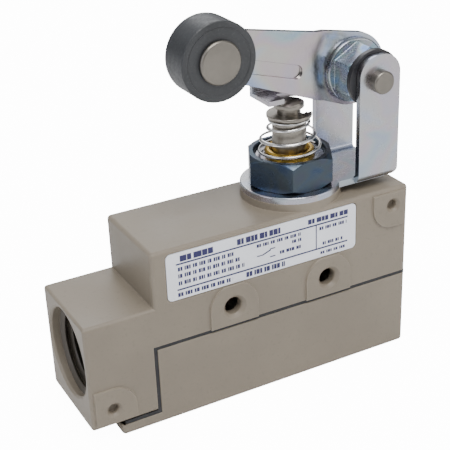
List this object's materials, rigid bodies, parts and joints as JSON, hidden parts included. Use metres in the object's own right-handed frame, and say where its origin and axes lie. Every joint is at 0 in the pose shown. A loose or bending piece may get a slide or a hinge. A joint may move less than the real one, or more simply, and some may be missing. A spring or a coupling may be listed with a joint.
{
  "type": "limit switch",
  "caption": "Heavy-duty limit switch: die-cast enclosure with a side conduit entry and wiring cover, and a swivelling roller lever that presses a sealed spring-return plunger",
  "frame": {"origin": "middle of the two mounting holes, in the plane of the enclosure's back face", "axes": "+X from the conduit entry towards the lever's pivot, +Y out of the back face, +Z from the wiring cover up towards the roller"},
  "size_m": [0.0856, 0.0245, 0.0908],
  "materials": {
    "paint": "satin",
    "gasket": "matte",
    "label": "satin",
    "zinc": "satin",
    "blue_zinc": "satin",
    "steel": "satin",
    "spring_wire": "bright",
    "black_steel": "satin",
    "brass": "satin",
    "copper_alloy": "satin",
    "roller_resin": "matte",
    "case_resin": "matte",
    "seal_rubber": "matte"
  },
  "bodies": {
    "base": {"housing": "paint", "cover": "paint", "cover_gasket": "gasket", "cover_screws": "steel", "nameplate": "label", "mounting_sleeves": "steel", "ground_screw": "blue_zinc", "switch_base": "case_resin", "switch_lid": "case_resin", "common_terminal": "brass", "normally_open_terminal": "brass", "normally_closed_terminal": "brass", "terminal_screws": "steel", "head_sleeve": "zinc", "guide_bushing": "brass", "plunger_seal": "seal_rubber", "head_nut": "blue_zinc", "return_spring": "spring_wire"},
    "yoke": {"bracket_yoke": "zinc", "pivot_pin": "steel", "pin_clip": "steel"},
    "lever": {"pressing_lever": "zinc", "hub_sleeve": "steel", "spacer_washer": "black_steel", "hub_nut": "blue_zinc"},
    "arm": {"roller_arm": "zinc", "roller_pin": "steel"},
    "wheel": {"roller": "roller_resin"},
    "plunger": {"plunger": "steel", "plunger_stop_ring": "steel", "spring_retainer": "zinc"},
    "pin": {"push_rod": "steel", "switch_pin": "case_resin", "overtravel_spring": "spring_wire"},
    "blade": {"moving_blade": "copper_alloy"}
  },
  "joints": [
    {"name": "yoke_swivel", "type": "hinge", "parent": "base", "child": "yoke", "pos_m": [0.0098, -0.012, 0.0206], "axis": [0, 0, 1], "range_deg": [-180, 180]},
    {"name": "lever_hinge", "type": "hinge", "parent": "yoke", "child": "lever", "pos_m": [0.0276, -0.012, 0.0454], "axis": [0, -1, 0], "range_deg": [0, 16], "stiffness_Nm_per_rad": 0.32, "springref_deg": -12.61},
    {"name": "arm_adjust", "type": "hinge", "parent": "lever", "child": "arm", "pos_m": [0.0276, -0.012, 0.0454], "axis": [0, 1, 0], "range_deg": [0, 90]},
    {"name": "roller_spin", "type": "hinge", "parent": "arm", "child": "wheel", "pos_m": [-0.01273, -0.012, 0.05712], "axis": [0, 1, 0], "continuous": true},
    {"name": "plunger_slide", "type": "slide", "parent": "base", "child": "plunger", "axis": [0, 0, -1], "range_m": [0, 0.0056], "deforming": ["return_spring", "overtravel_spring"]},
    {"name": "pin_slide", "type": "slide", "parent": "base", "child": "pin", "axis": [0, 0, -1], "range_m": [0, 0.00056]},
    {"name": "blade_flex", "type": "hinge", "parent": "base", "child": "blade", "pos_m": [-0.0168, -0.012, 0.0056], "axis": [0, 1, 0], "range_deg": [0, 1.2]}
  ],
  "couplings": [
    {"joint": "plunger_slide", "follows": "lever_hinge", "m_per_rad": 0.02},
    {"joint": "pin_slide", "follows": "lever_hinge", "m_per_rad": 0.00197},
    {"joint": "blade_flex", "follows": "lever_hinge", "ratio": 0.0715}
  ]
}
